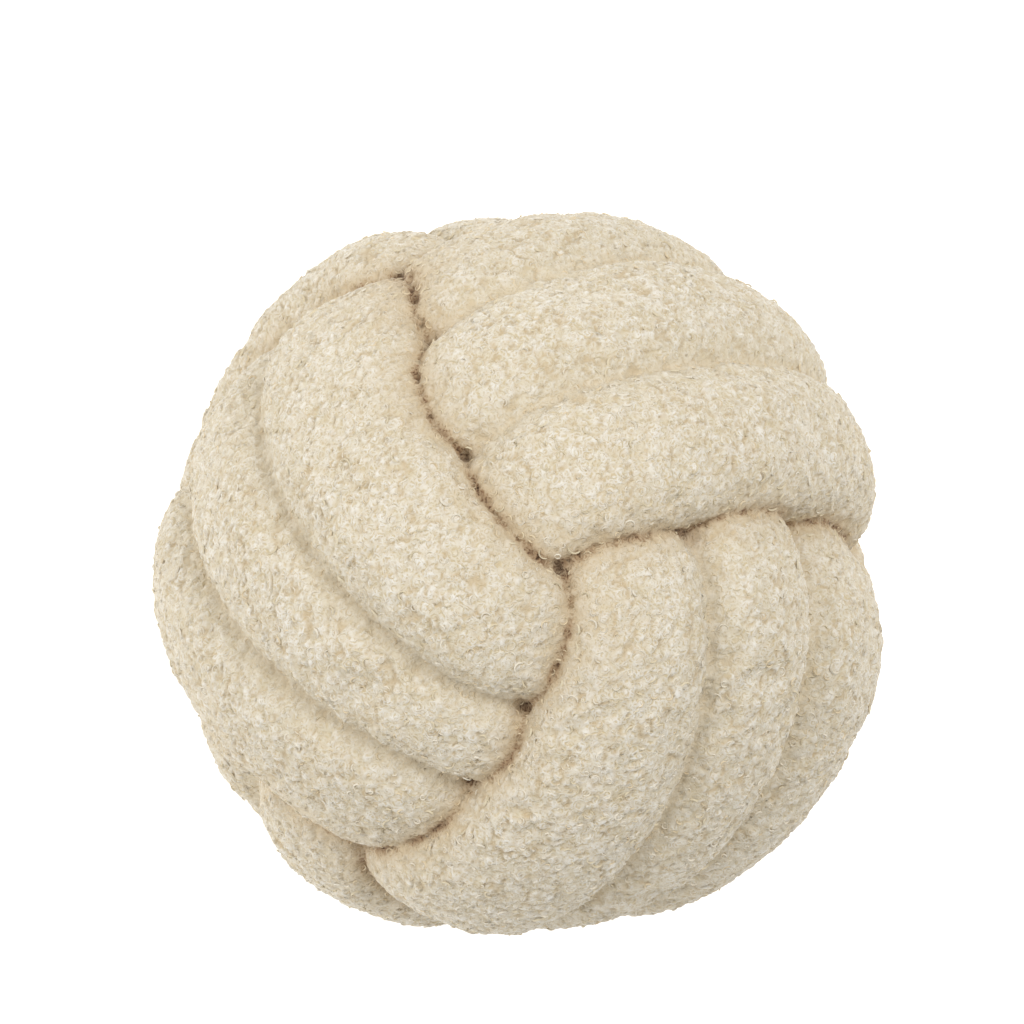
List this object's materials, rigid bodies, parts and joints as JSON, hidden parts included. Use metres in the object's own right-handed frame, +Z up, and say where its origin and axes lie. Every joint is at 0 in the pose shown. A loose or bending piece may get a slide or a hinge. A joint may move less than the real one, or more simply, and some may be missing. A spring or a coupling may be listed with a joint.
{
  "type": "knot cushion",
  "caption": "Round cushion of a thick stuffed tube with curly pile, tied round itself into a ball knot, resting on a small flat spot.",
  "frame": {"origin": "on the floor under the middle of the ball", "axes": "+Z up, out of the floor that the ball rests on; the pictured face looks up, with the picture's top towards +Y"},
  "size_m": [0.225, 0.2204, 0.2136],
  "materials": {
    "boucle": "matt cream boucle with a short curly pile"
  },
  "bodies": {
    "root": {"knot_cushion": "boucle"}
  },
  "joints": []
}
